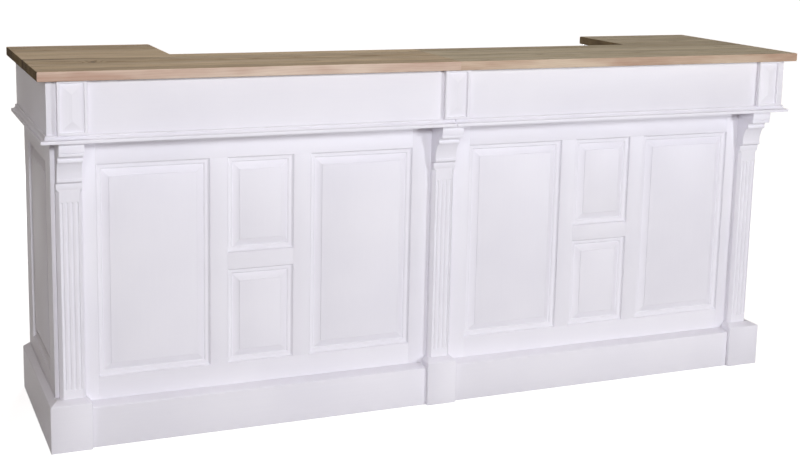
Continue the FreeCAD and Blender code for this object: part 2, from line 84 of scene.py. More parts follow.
satinLacquer = {
    "full": "#EFEDF3",
    "thin": "#EAE8EF",         # where the coat is thinner
    "contrast": (0.36, 0.62),  # the span of the noise over which thin becomes full
    "roughness": 0.46, "unevenness": (-0.04, 0.05),
    "specular": 0.3, "ior": 1.48,
    "grainWidth": 3.5,         # open grain under the coat, drawn about three times real so that it shows
    "grainLength": 140.0,
    "grainShare": 0.15,        # of the change in colour, the rest being mottle
    "mottle": 320.0,           # slow change in the coat
    "peel": 2.2,               # orange peel from the spray gun
    "peelShare": 0.35,         # of the relief, the rest being grain
    "relief": 0.012,           # depth of grain and peel together
}


# Water-borne satin lacquer sprayed on solid wood and rubbed down between coats. The eye gets a soft
# broad sheen, a coat that is slightly uneven, and a trace of the grain under it.
def makeLacquer(name, along):
    p = satinLacquer
    material, tree = newMaterial(name)
    place = addNode(tree, "TexCoord").outputs["Object"]
    stretch = [1 / (p["grainWidth"] * mm)] * 3
    stretch["XYZ".index(along)] = 1 / (p["grainLength"] * mm)
    stretched = addNode(tree, "Mapping", inputs={"Vector": place, "Scale": stretch})
    grain = addNode(tree, "TexNoise", inputs={"Vector": stretched, "Scale": 1.0, "Detail": 3.0})
    mottle = addNode(tree, "TexNoise",
                     inputs={"Vector": place, "Scale": 1 / (p["mottle"] * mm), "Detail": 2.0})
    peel = addNode(tree, "TexNoise", inputs={"Vector": place, "Scale": 1 / (p["peel"] * mm), "Detail": 1.0})
    coat = addNode(tree, "Mix", inputs={0: p["grainShare"], 2: mottle, 3: grain})
    share = addNode(tree, "MapRange", inputs={0: coat, 1: p["contrast"][0], 2: p["contrast"][1]})
    colour = addNode(tree, "Mix", {"data_type": "RGBA"}, {0: share, 6: p["thin"], 7: p["full"]})
    rough = [p["roughness"] + change for change in p["unevenness"]]
    sheen = addNode(tree, "MapRange",
                    inputs={0: mottle, 1: noiseLow, 2: noiseHigh, 3: rough[0], 4: rough[1]})
    height = addNode(tree, "Mix", inputs={0: p["peelShare"], 2: grain, 3: peel})
    bump = addNode(tree, "Bump", inputs={"Height": height, "Strength": 1.0, "Distance": p["relief"] * mm})
    shader = addNode(tree, "BsdfPrincipled", inputs={"Base Color": colour.outputs[2], "Roughness": sheen,
                                                     "Normal": bump, "IOR": p["ior"],
                                                     "Specular IOR Level": p["specular"]})
    addNode(tree, "OutputMaterial", inputs={"Surface": shader})
    return material


oiledOak = {
    "staveWidth": 115.5,
    "seam": -270.0,            # Y of one glue line
    "middle": 1086.5, "top": 1100.0,   # heights of the boards' mid-plane and of their upper face
    "ring": 5.5,               # one year's growth
    "ringFade": 0.55,          # the share of a ring over which it goes from dark to light
    "ringShare": 0.3,          # of the fine figure, the rest being pores
    "heart": (20.0, 50.0),     # a heart line lies this far below the mid-plane, and up to so much more
    "poreWidth": 1.3,          # drawn about four times as wide as real pores, so that they show
    "poreLength": 60.0,
    "wander": 55.0,            # how far the growth lines stray, which makes the cathedral figure
    "strayScale": 1.5, "cloudScale": 4.0,   # per metre along the log
    "narrower": 5.0,           # both change this many times faster across the log
    "apart": 40.0,             # staves come from places up to this many metres apart
    "nextHalf": 31.0,          # the right half counts its staves from here, so that none is used twice
    "slowShare": 0.5, "staveShare": 0.35,   # of clouds and stave tone in all, and of stave tone in those
    "contrast": (0.34, 0.66),
    "faceDark": "#8C7A60", "faceLight": "#D2C2A8",
    "edgeDark": "#B79684", "edgeLight": "#DFCDBB",   # long edges are lighter and pinker than the faces
    "patchShare": 0.65, "patchContrast": (0.36, 0.64),   # and patchy
    "endDark": "#3E3222", "endLight": "#8A7758",     # end grain drinks the oil
    "glue": "#5C4A33", "glueShare": 0.6,
    "glueWidth": 5.0,          # drawn about ten times as wide as it is, so that it shows
    "leftLot": "#FBF4EB", "rightLot": "#F3F5F2",   # the halves are from two lots of timber
    # painted shade: the right half's long edges are darkened against the right softbox's stronger light on
    # them
    "rightEdgePaintedShade": "#EFECE4",
    "knot": (-1052.0, -131.0), "knotRadius": 10.0, "knotColour": "#3A2A1C", "knotShare": 0.9,
    "knotCore": 0.6,           # the share of its radius that is darkest
    "knotShape": (1.0, 0.55, 0.3),        # it is longer across the stave and downwards
    "knotReach": 45.0, "knotBend": 11.0,  # how far round it the growth lines bend, and how much
    "streak": (-1190.0, -39.0),           # where a dark streak starts to fade, and the Y of its glue line
    "streakWidth": 16.0, "streakLength": 330.0, "streakShare": 0.85,
    "edgeFacing": (0.3, 0.7), "endFacing": 0.6,   # how far a surface faces along Y or X to be edge or end
    "roughness": (0.78, 0.62), "endRoughness": 1.0,   # in the pores, between them, and on end grain
    "relief": 0.08, "specular": 0.22, "ior": 1.46,
}


# Planed European oak staves, edge-glued and oiled matt. The eye gets long figure that changes at each
# glue line, dark pore dashes along the grain, and arcs of growth rings on the dark end grain.
def makeOak(name):
    p = oiledOak
    wide = p["staveWidth"] * mm
    material, tree = newMaterial(name)
    source = addNode(tree, "TexCoord")
    place = source.outputs["Object"]
    axes = addNode(tree, "SeparateXYZ", inputs={0: place}).outputs
    facing = addNode(tree, "SeparateXYZ", inputs={0: source.outputs["Normal"]}).outputs
    # which stave: glue lines divide Y, and the two halves of the counter differ
    count = addNode(tree, "Math", {"operation": "MULTIPLY_ADD"},
                    {0: axes["Y"], 1: 1 / wide, 2: -p["seam"] * mm / wide})
    stave = addNode(tree, "Math", {"operation": "FLOOR"}, {0: count})
    within = addNode(tree, "Math", {"operation": "FRACT"}, {0: count})
    half = addNode(tree, "Math", {"operation": "GREATER_THAN"}, {0: axes["X"], 1: 0.0})
    key = addNode(tree, "Math", {"operation": "MULTIPLY_ADD"}, {0: half, 1: p["nextHalf"], 2: stave})
    chance = addNode(tree, "TexWhiteNoise", {"noise_dimensions": "1D"}, {"W": key})
    luck = addNode(tree, "SeparateColor", inputs={0: chance.outputs["Color"]}).outputs
    # growth rings: the distance from a heart line along X, somewhere below each stave
    sideways = addNode(tree, "Math", {"operation": "SUBTRACT"}, {0: within, 1: luck["Red"]})
    heartY = addNode(tree, "Math", {"operation": "MULTIPLY"}, {0: sideways, 1: wide})
    least, more = p["heart"]
    depth = addNode(tree, "Math", {"operation": "MULTIPLY_ADD"},
                    {0: luck["Green"], 1: more * mm, 2: (least - p["middle"]) * mm})
    heartZ = addNode(tree, "Math", {"operation": "ADD"}, {0: axes["Z"], 1: depth})
    fromHeart = addNode(tree, "CombineXYZ", inputs={"Y": heartY, "Z": heartZ})
    radius = addNode(tree, "VectorMath", {"operation": "LENGTH"}, {0: fromHeart}).outputs["Value"]
    along = addNode(tree, "Math", {"operation": "MULTIPLY_ADD"},
                    {0: luck["Blue"], 1: p["apart"], 2: axes["X"]})
    acrossY = addNode(tree, "Math", {"operation": "MULTIPLY"}, {0: axes["Y"], 1: p["narrower"]})
    acrossZ = addNode(tree, "Math", {"operation": "MULTIPLY"}, {0: axes["Z"], 1: p["narrower"]})
    log = addNode(tree, "CombineXYZ", inputs={"X": along, "Y": acrossY, "Z": acrossZ})
    stray = addNode(tree, "TexNoise",
                    inputs={"Vector": log, "Scale": p["strayScale"], "Detail": 2.0, "Roughness": 0.45})
    # the grain bends round the knot
    fromKnot = addNode(tree, "VectorMath", {"operation": "SUBTRACT"},
                       {0: place, 1: (p["knot"][0] * mm, p["knot"][1] * mm, p["top"] * mm)})
    flat = addNode(tree, "VectorMath", {"operation": "MULTIPLY"}, {0: fromKnot, 1: p["knotShape"]})
    knotFar = addNode(tree, "VectorMath", {"operation": "LENGTH"}, {0: flat}).outputs["Value"]
    pull = addNode(tree, "MapRange", {"interpolation_type": "SMOOTHSTEP"},
                   {0: knotFar, 1: 0.0, 2: p["knotReach"] * mm, 3: p["knotBend"] * mm, 4: 0.0})
    grown = addNode(tree, "Math", {"operation": "MULTIPLY_ADD"}, {0: stray, 1: p["wander"] * mm, 2: radius})
    bent = addNode(tree, "Math", {"operation": "ADD"}, {0: grown, 1: pull})
    years = addNode(tree, "Math", {"operation": "MULTIPLY"}, {0: bent, 1: 1 / (p["ring"] * mm)})
    year = addNode(tree, "Math", {"operation": "FRACT"}, {0: years})
    dense = addNode(tree, "MapRange", {"interpolation_type": "SMOOTHSTEP"},
                    {0: year, 1: 0.0, 2: p["ringFade"], 3: 0.0, 4: 1.0})
    thin = addNode(tree, "Mapping", inputs={"Vector": place, "Scale": (
        1 / (p["poreLength"] * mm), 1 / (p["poreWidth"] * mm), 1 / (p["poreWidth"] * mm))})
    pores = addNode(tree, "TexNoise",
                    inputs={"Vector": thin, "Scale": 1.0, "Detail": 3.0, "Roughness": 0.65})
    clouds = addNode(tree, "TexNoise", inputs={"Vector": log, "Scale": p["cloudScale"], "Detail": 3.0})
    # light and dark: pores and rings, then slow clouds, then a tone of its own for each stave
    fine = addNode(tree, "Mix", inputs={0: p["ringShare"], 2: pores, 3: dense})
    slow = addNode(tree, "Mix", inputs={0: p["staveShare"], 2: clouds, 3: chance.outputs["Value"]})
    both = addNode(tree, "Mix", inputs={0: p["slowShare"], 2: fine, 3: slow})
    tone = addNode(tree, "MapRange", inputs={0: both, 1: p["contrast"][0], 2: p["contrast"][1]})
    face = addNode(tree, "Mix", {"data_type": "RGBA"}, {0: tone, 6: p["faceDark"], 7: p["faceLight"]})
    patchy = addNode(tree, "MapRange",
                     inputs={0: clouds, 1: p["patchContrast"][0], 2: p["patchContrast"][1]})
    edgeTone = addNode(tree, "Mix", inputs={0: p["patchShare"], 2: tone, 3: patchy})
    edge = addNode(tree, "Mix", {"data_type": "RGBA"}, {0: edgeTone, 6: p["edgeDark"], 7: p["edgeLight"]})
    end = addNode(tree, "Mix", {"data_type": "RGBA"}, {0: tone, 6: p["endDark"], 7: p["endLight"]})
    sideY = addNode(tree, "Math", {"operation": "ABSOLUTE"}, {0: facing["Y"]})
    sideX = addNode(tree, "Math", {"operation": "ABSOLUTE"}, {0: facing["X"]})
    onEdge = addNode(tree, "MapRange", {"interpolation_type": "SMOOTHSTEP"},
                     {0: sideY, 1: p["edgeFacing"][0], 2: p["edgeFacing"][1]})
    onEnd = addNode(tree, "Math", {"operation": "GREATER_THAN"}, {0: sideX, 1: p["endFacing"]})
    lot = addNode(tree, "Mix", {"data_type": "RGBA"}, {0: half, 6: p["leftLot"], 7: p["rightLot"]})
    # painted shade on the right half's long edges, where the right softbox lights them more
    edgePaintedShade = addNode(tree, "Mix", {"data_type": "RGBA"}, {0: half, 6: "#FFFFFF", 7: p["rightEdgePaintedShade"]})
    edge = addNode(tree, "Mix", {"data_type": "RGBA", "blend_type": "MULTIPLY"},
                   {0: 1.0, 6: edge.outputs[2], 7: edgePaintedShade.outputs[2]})
    wood = addNode(tree, "Mix", {"data_type": "RGBA", "blend_type": "MULTIPLY"},
                   {0: 1.0, 6: face.outputs[2], 7: lot.outputs[2]})
    # long edge and end grain, then knot, streak and glue lines over them
    wood = addNode(tree, "Mix", {"data_type": "RGBA"}, {0: onEdge, 6: wood.outputs[2], 7: edge.outputs[2]})
    wood = addNode(tree, "Mix", {"data_type": "RGBA"}, {0: onEnd, 6: wood.outputs[2], 7: end.outputs[2]})
    knotRim = p["knotRadius"] * mm
    inKnot = addNode(tree, "MapRange",
                     inputs={0: knotFar, 1: p["knotCore"] * knotRim, 2: knotRim, 3: p["knotShare"], 4: 0.0})
    wood = addNode(tree, "Mix", {"data_type": "RGBA"}, {0: inKnot, 6: wood.outputs[2], 7: p["knotColour"]})
    besideStreak = addNode(tree, "Math", {"operation": "SUBTRACT"}, {0: axes["Y"], 1: p["streak"][1] * mm})
    streakFar = addNode(tree, "Math", {"operation": "ABSOLUTE"}, {0: besideStreak})
    inStreak = addNode(tree, "MapRange", {"interpolation_type": "SMOOTHSTEP"},
                       {0: streakFar, 1: 0.0, 2: p["streakWidth"] * mm, 3: p["streakShare"], 4: 0.0})
    fadeStart, fadeEnd = p["streak"][0] * mm, (p["streak"][0] + p["streakLength"]) * mm
    fading = addNode(tree, "MapRange", {"interpolation_type": "SMOOTHSTEP"},
                     {0: axes["X"], 1: fadeStart, 2: fadeEnd, 3: 1.0, 4: 0.0})
    streak = addNode(tree, "Math", {"operation": "MULTIPLY"}, {0: inStreak, 1: fading})
    wood = addNode(tree, "Mix", {"data_type": "RGBA"}, {0: streak, 6: wood.outputs[2], 7: p["knotColour"]})
    fromMiddle = addNode(tree, "Math", {"operation": "SUBTRACT"}, {0: within, 1: 0.5})
    toSeam = addNode(tree, "Math", {"operation": "ABSOLUTE"}, {0: fromMiddle})
    onSeam = addNode(tree, "MapRange", inputs={0: toSeam, 1: 0.5 - p["glueWidth"] / 2 * mm / wide, 2: 0.5,
                                               3: 0.0, 4: p["glueShare"]})
    wood = addNode(tree, "Mix", {"data_type": "RGBA"}, {0: onSeam, 6: wood.outputs[2], 7: p["glue"]})
    dull = addNode(tree, "MapRange", inputs={0: pores, 1: noiseLow, 2: noiseHigh,
                                             3: p["roughness"][0], 4: p["roughness"][1]})
    dull = addNode(tree, "Mix", inputs={0: onEnd, 2: dull, 3: p["endRoughness"]})
    bump = addNode(tree, "Bump", inputs={"Height": fine, "Strength": 1.0, "Distance": p["relief"] * mm})
    shader = addNode(tree, "BsdfPrincipled", inputs={"Base Color": wood.outputs[2], "Roughness": dull,
                                                     "Normal": bump, "IOR": p["ior"],
                                                     "Specular IOR Level": p["specular"]})
    addNode(tree, "OutputMaterial", inputs={"Surface": shader})
    return material


planedPine = {
    "early": "#DDC193", "late": "#B88C58",
    "line": 4.0,               # width of a light or a dark line
    "bandWidth": 0.22,         # and that of diagonal bands at scale 1, in metres
    "fibre": 0.8, "fibreShare": 0.3,
    "shorten": 0.05,           # of distances along Y, which draws the lines out that way
    "roughness": (0.62, 0.78), "relief": 0.1, "ior": 1.45,
}


# Planed pine offcuts, left bare. The eye gets straight yellow and tan lines along the length.
def makePine(name):
    p = planedPine
    material, tree = newMaterial(name)
    place = addNode(tree, "TexCoord").outputs["Object"]
    long = addNode(tree, "Mapping", inputs={"Vector": place, "Scale": (1.0, p["shorten"], 1.0)})
    scale = p["bandWidth"] / (p["line"] * mm)
    rings = addNode(tree, "TexWave", {"bands_direction": "DIAGONAL"},
                    {"Vector": long, "Scale": scale, "Distortion": 3.0, "Detail": 2.0})
    fibres = addNode(tree, "TexNoise",
                     inputs={"Vector": long, "Scale": 1 / (p["fibre"] * mm), "Detail": 2.0})
    blend = addNode(tree, "Mix", inputs={0: p["fibreShare"], 2: rings.outputs["Fac"], 3: fibres})
    colour = addNode(tree, "Mix", {"data_type": "RGBA"}, {0: blend, 6: p["early"], 7: p["late"]})
    dull = addNode(tree, "MapRange", inputs={0: fibres, 3: p["roughness"][0], 4: p["roughness"][1]})
    bump = addNode(tree, "Bump", inputs={"Height": fibres, "Distance": p["relief"] * mm})
    shader = addNode(tree, "BsdfPrincipled", inputs={"Base Color": colour.outputs[2], "Roughness": dull,
                                                     "Normal": bump, "IOR": p["ior"]})
    addNode(tree, "OutputMaterial", inputs={"Surface": shader})
    return material


zincPlate = {"dull": "#9EA4AA", "bright": "#C6CACE", "patch": 1.6, "roughness": (0.28, 0.42)}


# Bright zinc plating on mild steel. The eye gets a cool grey metal with small cloudy patches.
def makeZinc(name):
    p = zincPlate
    material, tree = newMaterial(name)
    place = addNode(tree, "TexCoord").outputs["Object"]
    patches = addNode(tree, "TexNoise",
                      inputs={"Vector": place, "Scale": 1 / (p["patch"] * mm), "Detail": 3.0})
    colour = addNode(tree, "Mix", {"data_type": "RGBA"}, {0: patches, 6: p["dull"], 7: p["bright"]})
    gloss = addNode(tree, "MapRange", inputs={0: patches, 1: noiseLow, 2: noiseHigh,
                                              3: p["roughness"][0], 4: p["roughness"][1]})
    shader = addNode(tree, "BsdfPrincipled", inputs={"Base Color": colour.outputs[2], "Roughness": gloss,
                                                     "Metallic": 1.0})
    addNode(tree, "OutputMaterial", inputs={"Surface": shader})
    return material


lacquerUp = makeLacquer("satin_lacquer_upright_grain", "Z")
lacquerAlong = makeLacquer("satin_lacquer_lengthwise_grain", "X")
lacquerDeep = makeLacquer("satin_lacquer_front_to_back_grain", "Y")
oak = makeOak("oiled_edge_glued_oak")
pine = makePine("bare_planed_pine")
zinc = makeZinc("zinc_plated_steel")
print("materials made")


def addPiece(name, mesh, material, replaced):
    mesh.materials.clear()
    mesh.materials.append(material)
    piece = bpy.data.objects.new(name, mesh)
    bpy.context.scene.collection.objects.link(piece)
    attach(piece, "root")
    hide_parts(replaced)
    return piece


# Rings of points are joined in order into a closed skin: each point to the next one on its ring and to
# the same one on the next ring. A row of rings either meets itself or gets a flat cap at both ends.
def skinMesh(name, rows, crease=24.0, weld=0.002):   # degrees, and millimetres
    points, faces, base = [], [], 0
    for rings, meets in rows:
        many, count = rings.shape[:2]
        i = np.arange(many if meets else many - 1)[:, None]
        j = np.arange(count)[None, :]
        here, there, beside = i * count, (i + 1) % many * count, (j + 1) % count
        quads = np.stack(np.broadcast_arrays(here + j, here + beside, there + beside, there + j), axis=2)
        faces += (base + quads.reshape(-1, 4)).tolist()
        if not meets:
            last = base + (many - 1) * count
            faces += [list(range(base, base + count)), list(range(last, last + count))]
        points.append(rings.reshape(-1, 3))
        base += many * count
    mesh = bpy.data.meshes.new(name)
    mesh.from_pydata(np.concatenate(points).tolist(), [], faces)
    work = bmesh.new()
    work.from_mesh(mesh)
    bmesh.ops.remove_doubles(work, verts=work.verts, dist=weld * mm)
    bmesh.ops.recalc_face_normals(work, faces=work.faces)
    for face in work.faces:
        face.smooth = len(face.verts) < 5   # a cap stays flat, so that its shading doesn't bend
    work.to_mesh(mesh)
    work.free()
    mesh.set_sharp_from_angle(angle=math.radians(crease))
    return mesh


# The arc from start to end through middle: its centre is as far from all three, and points are spaced
# evenly by angle.
def arcPoints(start, middle, end, steps=8):
    a, m, b = (np.array(point, float) for point in (start, middle, end))
    centre = np.linalg.solve(2 * np.array([m - a, b - a]), [m @ m - a @ a, b @ b - a @ a])
    angles = np.unwrap([math.atan2(*(point - centre)[::-1]) for point in (a, m, b)])
    turn = np.linspace(angles[0], angles[2], steps + 1)[1:]
    return centre + np.linalg.norm(a - centre) * np.stack([np.cos(turn), np.sin(turn)], axis=1)


# A closed section. A step is a point, or a pair: a point on an arc and the arc's end.
def sectionPoints(start, steps):
    runs, here = [np.array([start], float)], start
    for step in steps:
        isArc = isinstance(step[0], tuple)
        runs.append(arcPoints(here, *step) if isArc else np.array([step], float))
        here = step[1] if isArc else step
    return np.concatenate(runs)


# Each corner of the section becomes a parabola between points a little before and after it, which take
# no more than that share of a side.
def easeCorners(points, ease, share=0.45):
    before, after = np.roll(points, 1, axis=0) - points, np.roll(points, -1, axis=0) - points
    reach = [np.linalg.norm(side, axis=1, keepdims=True) for side in (before, after)]
    cut = np.minimum(ease, share * np.minimum(*reach))
    first, last = points + before / reach[0] * cut, points + after / reach[1] * cut
    t = np.array([0.0, 0.35, 0.65, 1.0])[None, :, None]
    eased = (1 - t) ** 2 * first[:, None] + 2 * t * (1 - t) * points[:, None] + t ** 2 * last[:, None]
    return eased.reshape(-1, 2)


# The section moved towards its inside by the same distance everywhere: each point goes along the
# bisector of its two sides, and less far at a corner under 60 degrees, where least takes over. This comes
# before the easing, because an eased corner would fold over.
def insetSection(points, distance, least=0.5):
    ahead = np.roll(points, -1, axis=0) - points
    ahead /= np.linalg.norm(ahead, axis=1, keepdims=True)
    behind = np.roll(ahead, 1, axis=0)
    area = 0.5 * np.sum(points[:, 0] * np.roll(points[:, 1], -1) - np.roll(points[:, 0], -1) * points[:, 1])
    side = math.copysign(1.0, area)
    normals = [side * np.stack([-way[:, 1], way[:, 0]], axis=1) for way in (behind, ahead)]
    shared = 1 + np.sum(normals[0] * normals[1], axis=1, keepdims=True)
    return points + distance * (normals[0] + normals[1]) / np.maximum(shared, least)


# The cornice: a section carried along the frieze. Each ring stands at a corner of the frieze, and a
# point's distance outwards is measured along both sides of the mitre.
cornice = {
    "height": 22.0, "projection": 18.0, "back": 20.0,
    "ledge": 0.8, "bead": 5.2, "quirk": 1.3, "quirkOut": 3.4, "coveOut": 5.0,   # from the top down
    "fillet": 9.0, "step": 1.5,
    "roundness": 0.71,         # how far towards its corner the middle of a quarter circle lies
    "ease": 0.6,
    "joint": 0.9, "gap": 0.7,  # arris where the counter's halves meet, and half the gap between them
}
for side, sign in sides:
    p = cornice
    name = "cornice_moulding_" + side
    low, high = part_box(name)
    foot = p["projection"] - p["step"]
    beadFoot = p["height"] - p["bead"]
    coveTop = beadFoot - p["quirk"]
    bulge = p["roundness"] * p["bead"]
    bow = (p["ledge"] + bulge, beadFoot + bulge)
    inward = 1 - p["roundness"]
    hollow = (p["coveOut"] + inward * (foot - p["coveOut"]), p["fillet"] + inward * (coveTop - p["fillet"]))
    section = sectionPoints((-p["back"], p["height"]), [
        (p["ledge"], p["height"]), (bow, (p["ledge"] + p["bead"], beadFoot)), (p["quirkOut"], beadFoot),
        (p["quirkOut"], coveTop), (p["coveOut"], coveTop), (hollow, (foot, p["fillet"])),
        (p["projection"], p["fillet"]), (p["projection"], 0.0), (-p["back"], 0.0)])
    face = low.y + p["projection"] * mm
    corner = (high.x if sign > 0 else -low.x) - p["projection"] * mm
    gap, joint = p["gap"] * mm, p["joint"] * mm
    path = np.array([(gap, face, 0, -1), (gap + joint, face, 0, -1),
                     (corner, face, 1, -1), (corner, high.y, 1, 0)])
    insets = (p["joint"], 0, 0, 0)
    outlines = np.stack([easeCorners(insetSection(section, inset), p["ease"]) for inset in insets]) * mm
    rings = np.empty((*outlines.shape[:2], 3))   # the path has a place and the way out from it
    rings[:, :, 0] = sign * (path[:, None, 0] + path[:, None, 2] * outlines[:, :, 0])
    rings[:, :, 1] = path[:, None, 1] + path[:, None, 3] * outlines[:, :, 0]
    rings[:, :, 2] = low.z + outlines[:, :, 1]
    mesh = skinMesh("cornice_profile_" + side, [(rings, False)])
    addPiece("cornice_profile_" + side, mesh, lacquerAlong, name)

# Panel mouldings: a section carried round each panel opening and mitred. Rise is measured in from the
# opening's edge and depth back from the face of the frame.
panelMoulding = {
    "width": 18.0, "depth": 13.0, "quirk": 1.5, "ledge": 0.6, "ease": 0.4,
    "shelf": (6.5, 8.3), "shelfEnd": (11.0, 8.7), "foot": (17.0, 12.6),   # a hollow, a flat, a round
    "lean": (0.35, 0.65),      # where the middle of the hollow lies between its ends; the round mirrors it
    "tongue": 6.0,             # how far a panel goes into its grooves
    "lockRail": (485.0, 535.0),
}


def mouldingRings(low, high, place):
    p = panelMoulding
    start, shelf, end, foot = np.array([(p["ledge"], p["quirk"]), p["shelf"], p["shelfEnd"], p["foot"]])
    hollow, bow = start + (shelf - start) * p["lean"], end + (foot - end) * p["lean"][::-1]
    section = sectionPoints((0.0, p["quirk"]), [
        tuple(start), (tuple(hollow), tuple(shelf)), tuple(end), (tuple(bow), tuple(foot)),
        (p["width"], foot[1]), (p["width"], p["depth"]), (0.0, p["depth"])])
    section = easeCorners(section, p["ease"]) * mm
    corners = np.array([(low[0], low[1], 1, 1), (high[0], low[1], -1, 1), (high[0], high[1], -1, -1),
                        (low[0], high[1], 1, -1)])
    rise, depth = section[None, :, 0], section[None, :, 1] + np.zeros((4, 1))
    across = corners[:, None, 0] + corners[:, None, 2] * rise
    up = corners[:, None, 1] + corners[:, None, 3] * rise
    return np.stack(place(across, up, depth), axis=2), True


for side, sign in sides:
    p = panelMoulding
    tongue = p["tongue"] * mm
    low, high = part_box("panel_mouldings_" + side)
    face = low.y - p["quirk"] * mm
    endFace = (high.x if sign > 0 else -low.x) + p["quirk"] * mm
    rows = []
    for panel in ("large_panel_inner_", "large_panel_outer_", "small_panels_"):
        a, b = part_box(panel + side)
        heights = [a.z + tongue, b.z - tongue]
        if panel.startswith("small"):
            heights = [heights[0], p["lockRail"][0] * mm, p["lockRail"][1] * mm, heights[1]]
        for bottom, top in zip(heights[::2], heights[1::2]):
            rows.append(mouldingRings((a.x + tongue, bottom), (b.x - tongue, top),
                                      lambda across, up, depth: (across, face + depth, up)))
    a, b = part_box("end_panel_" + side)
    rows.append(mouldingRings((a.y + tongue, a.z + tongue), (b.y - tongue, b.z - tongue),
                              lambda across, up, depth: (sign * (endFace - depth), across, up)))
    mesh = skinMesh("panel_ogees_" + side, rows)
    addPiece("panel_ogees_" + side, mesh, lacquerUp, "panel_mouldings_" + side)
print("mouldings made")

# Corbels: one section along the width. At each end it is inset along a quarter circle, which eases the
# two side arrises.
corbel = {
    "projection": 84.0, "band": 29.0, "quirk": 2.5, "quirkDepth": 5.0, "fillet": 8.5, "filletStep": 2.0,
    "soffit": 12.0, "throat": 11.0, "throatBow": 0.35, "throatOut": 56.0,
    "nose": 12.0, "noseSwell": 2.5, "coveOut": 50.0,
    "cove": 49.0, "coveHollow": 4.5, "footOut": 35.0, "lip": 1.5, "lipHeight": 7.0, "seat": 26.0,
    "height": 126.0, "ease": 0.7, "arris": 0.9, "arrisSteps": 3,
}
p = corbel
levels = -np.cumsum([p["band"], p["quirk"], p["fillet"], p["throat"], p["nose"], p["cove"], p["lipHeight"]])
band, quirk, fillet, throat, nose, cove, lip = levels.tolist()
out = p["projection"]
under = out - p["filletStep"] - p["soffit"]
throatMiddle = (p["throatOut"] + p["throatBow"] * (under - p["throatOut"]),
                fillet - p["throatBow"] * p["throat"])
corbelSection = sectionPoints((0.0, 0.0), [
    (out, 0.0), (out, band), (out - p["quirkDepth"], band), (out - p["quirkDepth"], quirk),
    (out - p["filletStep"], quirk), (out - p["filletStep"], fillet), (under, fillet),
    (throatMiddle, (p["throatOut"], throat)),
    ((p["throatOut"] + p["noseSwell"], throat - p["nose"] / 2), (p["throatOut"], nose)),
    (p["coveOut"], nose),
    (((p["coveOut"] + p["footOut"]) / 2 - p["coveHollow"], nose - p["cove"] / 2), (p["footOut"], cove)),
    (p["footOut"] + p["lip"], cove), (p["footOut"] + p["lip"], lip), (p["seat"], -p["height"]),
    (0.0, -p["height"])])
turns = np.linspace(0, math.pi / 2, p["arrisSteps"] + 1)
for side in ("left", "centre", "right"):
    name = "corbel_" + side
    low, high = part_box(name)
    shrink = p["arris"] * (1 - np.sin(turns))
    step = p["arris"] * mm * (1 - np.cos(turns))
    stations = np.concatenate([low.x + step, high.x - step[::-1]])
    insets = np.concatenate([shrink, shrink[::-1]])
    outlines = [easeCorners(insetSection(corbelSection, inset), p["ease"]) for inset in insets]
    outlines = np.stack(outlines) * mm
    rings = np.stack([np.broadcast_to(stations[:, None], outlines.shape[:2]), high.y - outlines[:, :, 0],
                      high.z + outlines[:, :, 1]], axis=2)
    mesh = skinMesh("scroll_corbel_" + side, [(rings, False)])
    addPiece("scroll_corbel_" + side, mesh, lacquerUp, name)
print("corbels made")

# Pilasters: the front is a depth over width and height. A chamfer is as deep as its size less the
# distance from the edge, and its size fades to nothing towards the neck. The whole shaft steps back a
# little under the neck, along a slope. A flute's depth follows a circle over the distance from its axis,
# and the axis stops half a flute's width short of the flute's ends.
pilaster = {
    "neck": 15.0, "stepBack": 1.0, "slope": 2.5, "chamfer": 9.0, "chamferSteps": 4, "fadeSteps": 5,
    "flutes": 4, "fluteWidth": 8.4, "fluteDepth": 2.8, "spacing": 14.2,
    "topMargin": 38.0, "footMargin": 25.0, "rows": 14, "columns": 12,
}
p = pilaster
for side in ("left", "centre", "right"):
    name = "pilaster_" + side
    low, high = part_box(name)
    wide, tall = (high.x - low.x) / mm, (high.z - low.z) / mm
    halfFlute = p["fluteWidth"] / 2
    fluteRadius = (halfFlute ** 2 + p["fluteDepth"] ** 2) / (2 * p["fluteDepth"])
    stop = tall - p["neck"]
    ends = (p["footMargin"], stop - p["topMargin"])
    centres = wide / 2 + p["spacing"] * (np.arange(p["flutes"]) - (p["flutes"] - 1) / 2)
    sweep = halfFlute * np.sin(np.linspace(-math.pi / 2, math.pi / 2, p["columns"] + 1))
    chamferX = np.linspace(0, p["chamfer"], p["chamferSteps"] + 1)
    fluteX = (centres[:, None] + sweep).ravel()
    x = np.unique(np.round(np.concatenate([chamferX, wide - chamferX, fluteX]), 4))
    bow = halfFlute * (1 - np.cos(np.linspace(0, math.pi / 2, p["rows"])))
    fadeZ = np.linspace(stop - p["chamfer"], stop, p["fadeSteps"] + 1)
    z = np.unique(np.round(np.concatenate([[0, tall, stop - p["slope"]], ends[0] + bow, ends[1] - bow,
                                           fadeZ]), 4))
    X, Z = np.meshgrid(x, z)
    chamferSize = np.clip(stop - Z, 0, p["chamfer"])
    chamferDepth = np.maximum(chamferSize - np.minimum(X, wide - X), 0)
    beyond = np.maximum(np.maximum(ends[0] + halfFlute - Z, Z - ends[1] + halfFlute), 0)
    fromAxis = np.sqrt(np.min((X[:, :, None] - centres) ** 2, axis=2) + beyond ** 2)
    fluteDepth = np.sqrt(np.maximum(fluteRadius ** 2 - fromAxis ** 2, 0)) - (fluteRadius - p["fluteDepth"])
    depth = np.maximum(chamferDepth, np.where(fromAxis < halfFlute, np.maximum(fluteDepth, 0), 0))
    depth += p["stepBack"] * np.clip((stop - Z) / p["slope"], 0, 1)
    front = np.stack([low.x + X * mm, low.y + depth * mm, low.z + Z * mm], axis=2)
    rear = np.stack([np.broadcast_to([high.x, low.x], (len(z), 2)), np.full((len(z), 2), high.y),
                     low.z + np.repeat(z[:, None], 2, axis=1) * mm], axis=2)
    rings = np.concatenate([front, rear], axis=1)
    mesh = skinMesh("fluted_pilaster_" + side, [(rings, False)])
    addPiece("fluted_pilaster_" + side, mesh, lacquerUp, name)
print("pilasters made")

